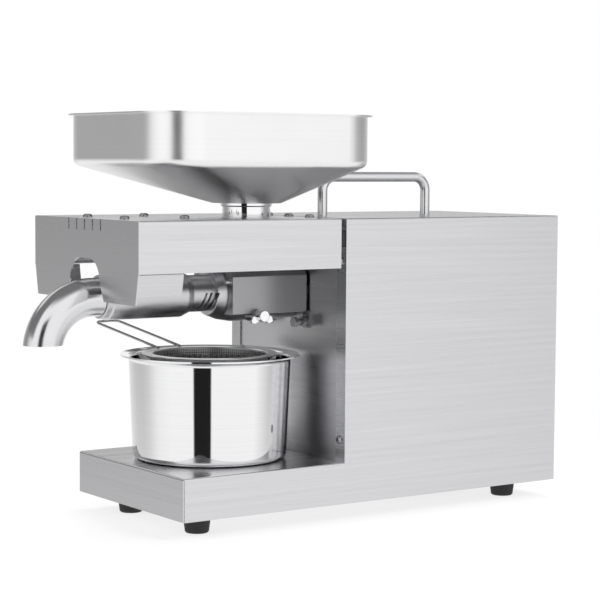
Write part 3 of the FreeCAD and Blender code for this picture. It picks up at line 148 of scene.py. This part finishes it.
SHEET = brushed_stainless("brushed_stainless_sheet", "#DADADC", 0.25, 0.05)
# The panel stands in the shaded bay under the hood and gets a lighter copy of the sheet steel. The lighter
# tone is painted light that lifts the bay's shade.
PANEL_PAINTED_LIGHT = brushed_stainless("brushed_stainless_panel_painted_light", "#E0E0E2", 0.30, 0.05)
print("brushed stainless:", SHEET.name, PANEL_PAINTED_LIGHT.name)

# %% [markdown]
# ## Polished, spun and turned stainless steel
# The pot and the neck are buffed to a mirror. What makes a mirror look real is its faults, so it gets a
# slow waviness, as deep drawing leaves it, and faint buffing marks. The elbow and the grip are polished
# less far, and the hopper has only a satin finish, so each blurs what it reflects a little more. Turned
# pieces show the tool's fine rings round their axis. Inside, hobbed gears are dull, ground bearing rings
# are bright, bronze is a warm yellow, and die-cast aluminium is pale and matt. All of them could have a
# recipe each, but they differ only in colour, roughness, waviness and ring direction, so they share one.


# %% Polished, spun and turned steel
SLOW = 3  # how often a ring changes along its own length, per metre


def worked_stainless(name, colour, roughness, rings, ring_pitch, ring_depth, wave_depth=0.0):
    """rings is the direction in which the tool's rings follow each other: (1, 0, 0) for a lathe along X."""
    material, tree, shader, place = new_material(name, Metallic=1)
    steps = [axis / ring_pitch + SLOW * (1 - axis) for axis in rings]
    spot = add(tree, "VectorMath", {0: place, 1: steps}, operation="MULTIPLY").outputs[0]
    ring = add(tree, "TexNoise", {"Vector": spot, "Scale": 1, "Detail": 2}).outputs[0]
    slow = add(tree, "TexNoise", {"Vector": place, "Scale": 1 / (45 * mm), "Detail": 1}).outputs[0]
    smudge = add(tree, "TexNoise", {"Vector": place, "Scale": 1 / (30 * mm), "Detail": 1}).outputs[0]
    tone = linear(colour)
    dark = [c * 0.93 for c in tone[:3]] + [1]
    paint = add(tree, "Mix", {0: ring, 6: dark, 7: tone}, data_type="RGBA").outputs[2]
    rough = add(
        tree, "MapRange", {0: smudge, 1: 0.3, 2: 0.7, 3: roughness * 0.96, 4: roughness * 1.05}
    ).outputs[0]
    wave = add(tree, "Bump", {"Height": slow, "Strength": 1, "Distance": wave_depth}).outputs[0]
    bump = add(
        tree, "Bump", {"Height": ring, "Strength": 1, "Distance": ring_depth, "Normal": wave}
    ).outputs[0]
    for socket, source in (("Base Color", paint), ("Roughness", rough), ("Normal", bump)):
        tree.links.new(source, shader.inputs[socket])
    return material


UP = (0, 0, 1)
ALONG = (1, 0, 0)
MIRROR = worked_stainless("mirror_polished_stainless", "#F7F7F8", 0.05, UP, 1.2 * mm, 0.0008 * mm, 0.02 * mm)
BENT = worked_stainless("polished_stainless_tube", "#E6E6E8", 0.19, UP, 2.0 * mm, 0.001 * mm, 0.02 * mm)
SPUN = worked_stainless("satin_spun_stainless", "#FCFCFC", 0.29, UP, 0.9 * mm, 0.0004 * mm, 0.01 * mm)
TURNED = worked_stainless("turned_stainless", "#DADADC", 0.34, ALONG, 0.7 * mm, 0.004 * mm)
MILLED = worked_stainless("milled_block_steel", "#A8A8AA", 0.32, ALONG, 0.9 * mm, 0.003 * mm)
DRAWN = worked_stainless("drawn_stainless_wire", "#B9B9BB", 0.2, UP, 1 * mm, 0.001 * mm)
SCREW = worked_stainless("stainless_screw", "#A6A6A8", 0.24, UP, 0.3 * mm, 0.002 * mm)
GEAR = worked_stainless("hobbed_gear_steel", "#8A8A8C", 0.3, ALONG, 0.5 * mm, 0.004 * mm)
GROUND = worked_stainless("ground_bearing_steel", "#B4B4B8", 0.16, ALONG, 0.4 * mm, 0.001 * mm)
BRONZE = worked_stainless("turned_bronze", "#C9A26B", 0.28, ALONG, 0.5 * mm, 0.002 * mm)
ALUMINIUM = worked_stainless("die_cast_aluminium", "#B9BABC", 0.42, UP, 1.5 * mm, 0.004 * mm)
print("worked metals ready")

# %% [markdown]
# ## Rubber, plastics and paint
# The moulded pieces share one recipe too: a base colour with a slight mottle, a fine grain in the
# surface from the mould, and the roughness of the material. Nitrile rubber for the feet is dull and
# dusty, nylon has the soft sheen of eroded mould steel, the rockers are glossy polycarbonate, the motor
# has a coat of black enamel, and the control board is green glass epoxy.


# %% Moulded and painted surfaces
def moulded(name, colour, roughness, grain, grain_depth, **surface):
    """A moulded or painted skin. grain is the size of its texture, grain_depth how deep that goes."""
    material, tree, shader, place = new_material(name, **surface)
    fine = add(tree, "TexNoise", {"Vector": place, "Scale": 1 / grain, "Detail": 2}).outputs[0]
    cloud = add(tree, "TexNoise", {"Vector": place, "Scale": 1 / (12 * mm), "Detail": 3}).outputs[0]
    tone = linear(colour)
    pale = [min(1, c * 1.35 + 0.004) for c in tone[:3]] + [1]
    paint = add(tree, "Mix", {0: cloud, 6: tone, 7: pale}, data_type="RGBA").outputs[2]
    rough = add(
        tree, "MapRange", {0: cloud, 1: 0.3, 2: 0.7, 3: roughness * 0.9, 4: roughness * 1.1}
    ).outputs[0]
    bump = add(tree, "Bump", {"Height": fine, "Strength": 0.6, "Distance": grain_depth}).outputs[0]
    for socket, source in (("Base Color", paint), ("Roughness", rough), ("Normal", bump)):
        tree.links.new(source, shader.inputs[socket])
    return material


RUBBER = moulded("nitrile_rubber", "#1B1B1C", 0.62, 0.8 * mm, 0.03 * mm)
NYLON = moulded("moulded_nylon", "#1E1E20", 0.42, 0.6 * mm, 0.02 * mm)
ROCKER = moulded("polycarbonate_rocker", "#141416", 0.18, 3 * mm, 0.004 * mm, Coat_Weight=0.3)
ENAMEL = moulded("motor_enamel", "#26282B", 0.35, 1.2 * mm, 0.02 * mm, Coat_Weight=0.4)
BOARD = moulded("glass_epoxy_board", "#1F6B3C", 0.35, 1.5 * mm, 0.01 * mm)
print("moulded and painted finishes ready")

# %% [markdown]
# ## Each CAD piece gets its finish
# The record names a material slot for every piece. The table below says which finish a slot takes, with
# the few pieces that differ from their slot written out.

# %% Hand out the finishes
SLOT_FINISH = {
    "sheet_steel": SHEET,
    "panel_steel": PANEL_PAINTED_LIGHT,
    "polished_steel": BENT,
    "spun_steel": SPUN,
    "turned_steel": TURNED,
    "mesh_steel": DRAWN,
    "wire_steel": DRAWN,
    "screw_steel": SCREW,
    "bearing_steel": GROUND,
    "gear_steel": GEAR,
    "bronze": BRONZE,
    "cast_aluminium": ALUMINIUM,
    "motor_paint": ENAMEL,
    "black_rubber": RUBBER,
    "black_plastic": NYLON,
    "rocker_plastic": ROCKER,
    "circuit_board": BOARD,
}
PIECE_FINISH = {
    "oil_pot": MIRROR,
    "feed_throat": MIRROR,
    "hopper_neck": MIRROR,
    "clamp_screw": MIRROR,
    "feed_block": MILLED,
}

for part in frame["record"]["subparts"]:
    piece = nodes[part["node"]]
    finish = PIECE_FINISH.get(piece.name, SLOT_FINISH[part["material_slot"]])
    piece.data.materials.clear()
    piece.data.materials.append(finish)

# %% [markdown]
# ## The strainer's wire cloth
# The CAD model has the strainer as a thin closed bowl. The real one is woven wire, and it is the one
# place where the light should come through the metal, so it is made from real wires here: a grid laid on
# the bowl's own profile, which a Wireframe modifier turns into wires. Real cloth has holes of about
# 0.4 mm; at this distance that is a grey haze, so it is drawn coarser, with 150 wires round the bowl.

# %% The bowl's size and its wires
low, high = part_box("strainer_mesh")
centre = (low + high) / 2
bowl_radius = (high.x - low.x) / 2
bowl_height = high.z - low.z
WIRES_ROUND = 150
WIRE = 0.55 * mm
FLOOR_RADIUS = 24 * mm
FLOOR_STEPS, WALL_STEPS = 14, 44
INSET = 0.6 * mm  # from the bowl's outside to the middle of the cloth
LIFT = 0.4 * mm  # the same under the floor
BELLY = 0.55  # below 1, the wall swings outwards before it rises
print("the bowl is", round(bowl_radius / mm, 1), "mm in radius,", round(bowl_height / mm, 1), "mm deep")
print("its wires stand", round(2 * math.pi * bowl_radius / WIRES_ROUND / mm, 1), "mm apart at the ring")


# %% The bowl's profile
def bowl_profile():
    """(radius, height) of the cloth's middle surface, from its first ring of wire to the bowl's ring."""
    points = [(FLOOR_RADIUS * step / FLOOR_STEPS, 0.0) for step in range(1, FLOOR_STEPS + 1)]
    for step in range(1, WALL_STEPS + 1):
        turn = step / WALL_STEPS * math.pi / 2
        reach = (bowl_radius - FLOOR_RADIUS - INSET) * math.sin(turn) ** BELLY
        points.append((FLOOR_RADIUS + reach, bowl_height * (1 - math.cos(turn))))
    return points


print("the profile has", len(bowl_profile()), "rings of wire")


# %% Weave the bowl
def wire_cloth(name):
    """A woven bowl: a net of quads on the profile, turned into wires."""
    mesh = bpy.data.meshes.new(name)
    net = bmesh.new()
    rows = []
    for radius, height in bowl_profile():
        row = []
        for k in range(WIRES_ROUND):
            angle = 2 * math.pi * k / WIRES_ROUND
            x = centre.x + radius * math.cos(angle)
            y = centre.y + radius * math.sin(angle)
            row.append(net.verts.new(Vector((x, y, low.z + height)) + Vector((0, 0, LIFT))))
        rows.append(row)
    for inner, outer in zip(rows, rows[1:]):
        for k in range(WIRES_ROUND):
            n = (k + 1) % WIRES_ROUND
            net.faces.new((inner[k], inner[n], outer[n], outer[k]))
    net.faces.new(list(reversed(rows[0])))
    net.to_mesh(mesh)
    net.free()
    cloth = bpy.data.objects.new(name, mesh)
    bpy.context.collection.objects.link(cloth)
    weave = cloth.modifiers.new("wires", "WIREFRAME")
    weave.thickness = WIRE
    weave.use_even_offset = False
    cloth.data.materials.append(DRAWN)
    return cloth


cloth = wire_cloth("wire_cloth")
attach(cloth, "strainer")
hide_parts("strainer_mesh")
print("wire cloth woven")

# %% [markdown]
# ## The studio
# Metal shows its surroundings, so the surroundings are half of the picture. They could be real boards
# and lamps, but those are slow to render and would show in other views, so the world itself draws the
# studio as the piece sees it: walls that are white on the camera's side and grey in two places behind,
# a white table, a dark ceiling with two soft boxes under it, a dark band high on the far wall, and one
# narrow black flag behind the camera, which draws the dark line down every polished cylinder. Only
# reflections see all this. The camera sees plain white, and matt surfaces are lit by an even grey and
# three soft lamps. A patch of the studio has a range of heights, as the sine of the angle above the
# horizon, and a range of degrees round the room, counted from the X axis.

# %% World and its directions
world = bpy.data.worlds.new("studio")
bpy.context.scene.world = world
world.use_nodes = True
tree = world.node_tree
way = add(tree, "SeparateXYZ", {0: add(tree, "TexCoord").outputs["Generated"]})
height = way.outputs["Z"]
angle = add(tree, "Math", {0: way.outputs["Y"], 1: way.outputs["X"]}, operation="ARCTAN2").outputs[0]
degrees = add(tree, "Math", {0: angle}, operation="DEGREES").outputs[0]


def window(value, low, high, edge):
    """1 between low and high, falling to 0 over one edge on both sides."""
    rise = add(tree, "MapRange", {0: value, 1: low - edge, 2: low}).outputs[0]
    fall = add(tree, "MapRange", {0: value, 1: high, 2: high + edge, 3: 1, 4: 0}).outputs[0]
    return add(tree, "Math", {0: rise, 1: fall}, operation="MULTIPLY").outputs[0]


def blend(share, below, above):
    """Goes from one grey to another."""
    return add(tree, "Mix", {0: share, 2: below, 3: above}).outputs[0]


def patch(heights, around):
    """1 inside a patch of the studio, 0 outside. Both ranges are (low, high, width of the soft edge)."""
    tall = window(height, *heights)
    wide = window(degrees, *around)
    return add(tree, "Math", {0: tall, 1: wide}, operation="MULTIPLY").outputs[0]


print("studio helpers ready")

# %% The studio's plan
# Each stop of the walls is (degrees, grey).
WALLS = [
    (-180, 1.0), (-150, 1.0), (-80, 1.0), (-54, 1.0), (-46, 0.78), (-28, 0.35), (0, 0.3), (30, 0.6),
    (55, 0.92), (85, 0.6), (108, 0.36), (126, 0.3), (140, 0.42), (158, 0.85), (180, 1.0),
]  # fmt: skip
WALL_LIGHT = 1.06
TABLE_GREY = 0.92
DARK_GREY = 0.2
BOX_GREY = 0.95
FLAG_GREY = 0.015
MATT_GREY = 0.6
BACKDROP = 1.0
FAR_BAND = ((0.3, 1.1, 0.1), (35, 175, 15))
BOXES = [((0.48, 0.62, 0.08), (-45, 25, 8)), ((0.48, 0.62, 0.08), (78, 112, 8))]
FLAG = ((-0.27, 0.5, 0.05), (-144, -121, 2))
print("planned", len(WALLS), "stops round the walls and", len(BOXES), "soft boxes")

# %% Draw the studio
turn = add(tree, "MapRange", {0: degrees, 1: -180, 2: 180}).outputs[0]
walls = add(tree, "ValToRGB", {0: turn}, stops=[((a + 180) / 360, tone) for a, tone in WALLS]).outputs[0]
grey = add(tree, "Math", {0: walls, 1: WALL_LIGHT}, operation="MULTIPLY").outputs[0]
table = add(tree, "MapRange", {0: height, 1: -0.03, 2: -0.33}).outputs[0]
grey = blend(table, grey, TABLE_GREY)
grey = blend(patch(*FAR_BAND), grey, DARK_GREY)
ceiling = add(tree, "MapRange", {0: height, 1: 0.8, 2: 0.95}).outputs[0]
grey = blend(ceiling, grey, DARK_GREY)
for box in BOXES:
    grey = blend(patch(*box), grey, BOX_GREY)
grey = blend(patch(*FLAG), grey, FLAG_GREY)
path = add(tree, "LightPath")
lit = blend(path.outputs["Is Glossy Ray"], MATT_GREY, grey)
seen = blend(path.outputs["Is Camera Ray"], lit, BACKDROP)
tree.links.new(seen, tree.nodes["Background"].inputs["Color"])
print("world ready:", len(tree.nodes), "nodes")

# %% [markdown]
# ## The floor
# The press stands on a sweep of white paper. To the camera the paper is mostly glowing white, with a
# quarter of its real shading near the machine, which keeps the shadow under it, and that quarter fades
# out with the distance, so the paper meets the white backdrop without an edge. All other light meets
# the plain paper. Reflections leave it out, because the world already has a table.

# %% Floor
SWEEP_RADIUS = 2.5
SHADE = 0.25
SHADE_START, SHADE_END = 0.25, 0.7
floor_mesh = bpy.data.meshes.new("floor")
sweep = bmesh.new()
bmesh.ops.create_circle(sweep, cap_ends=True, segments=96, radius=SWEEP_RADIUS)
sweep.to_mesh(floor_mesh)
sweep.free()
floor = bpy.data.objects.new("floor", floor_mesh)
bpy.context.collection.objects.link(floor)
floor.visible_glossy = False
paper, tree, shader, place = new_material("white_paper_sweep", Roughness=0.9, Base_Color=linear("#F2F2F2"))
reach = add(tree, "VectorMath", {0: place}, operation="LENGTH").outputs["Value"]
fall = {0: reach, 1: SHADE_START, 2: SHADE_END, 3: SHADE, 4: 0.0}
fade = add(tree, "MapRange", fall, interpolation_type="SMOOTHSTEP").outputs[0]
glow = add(tree, "Emission", {"Color": [1, 1, 1, 1], "Strength": 1})
direct = add(tree, "LightPath").outputs["Is Camera Ray"]
white = add(tree, "MixShader", {0: fade, 1: glow.outputs[0], 2: shader.outputs[0]})
sheet = add(tree, "MixShader", {0: direct, 1: shader.outputs[0], 2: white.outputs[0]})
tree.links.new(sheet.outputs[0], tree.nodes["Material Output"].inputs["Surface"])
floor.data.materials.append(paper)
print("floor ready")

# %% [markdown]
# ## The lamps
# Three large disks give matt surfaces their soft shading and put a faint shadow under the machine.
# Reflections don't see them, so they leave no bright spots on the polished pieces.


# %% Lamps
def lamp(name, spot, aim, size, power):
    """A disk of light at a spot, turned to its aim. size is its diameter in metres, power in watts."""
    light = bpy.data.lights.new(name, "AREA")
    light.shape = "DISK"
    light.size = size
    light.energy = power
    holder = bpy.data.objects.new(name, light)
    holder.location = spot
    holder.rotation_euler = (Vector(aim) - Vector(spot)).to_track_quat("-Z", "Y").to_euler()
    holder.visible_glossy = False
    bpy.context.collection.objects.link(holder)


lamp("key", (0.55, -1.6, 1.3), (0, 0, 0.15), 1.0, 24)
lamp("fill", (-1.6, -0.4, 0.9), (0, 0, 0.15), 1.0, 12)
lamp("top", (0.15, 0.3, 1.8), (0, 0, 0.1), 1.4, 24)
print("three lamps ready")

# %% [markdown]
# ## The camera
# The press stands turned by about 35 degrees. The camera is a little lower than the hopper's rim and
# looks slightly down, with a long lens from 1.6 m away, so that the edges stay nearly parallel.

# %% Camera
EYE = (-0.8850, -1.3253, 0.2920)
YAW, PITCH = math.radians(34.71), math.radians(4.18)
ROLL = 0.0069  # radians, a camera held very slightly askew
LENS = 112.88
SENSOR = 36
ahead = Vector((math.sin(YAW) * math.cos(PITCH), math.cos(YAW) * math.cos(PITCH), -math.sin(PITCH)))
right = Vector((math.cos(YAW), -math.sin(YAW), 0))
up = right.cross(ahead)
right, up = right * math.cos(ROLL) + up * math.sin(ROLL), up * math.cos(ROLL) - right * math.sin(ROLL)
camera = bpy.data.objects.new("camera", bpy.data.cameras.new("camera"))
camera.data.sensor_width = SENSOR
camera.data.lens = LENS
rows = [[right[i], up[i], -ahead[i], EYE[i]] for i in range(3)]
camera.matrix_world = Matrix(rows + [[0, 0, 0, 1]])
bpy.context.collection.objects.link(camera)
bpy.context.scene.camera = camera
bpy.context.scene.view_settings.view_transform = "Standard"
print("camera ready")
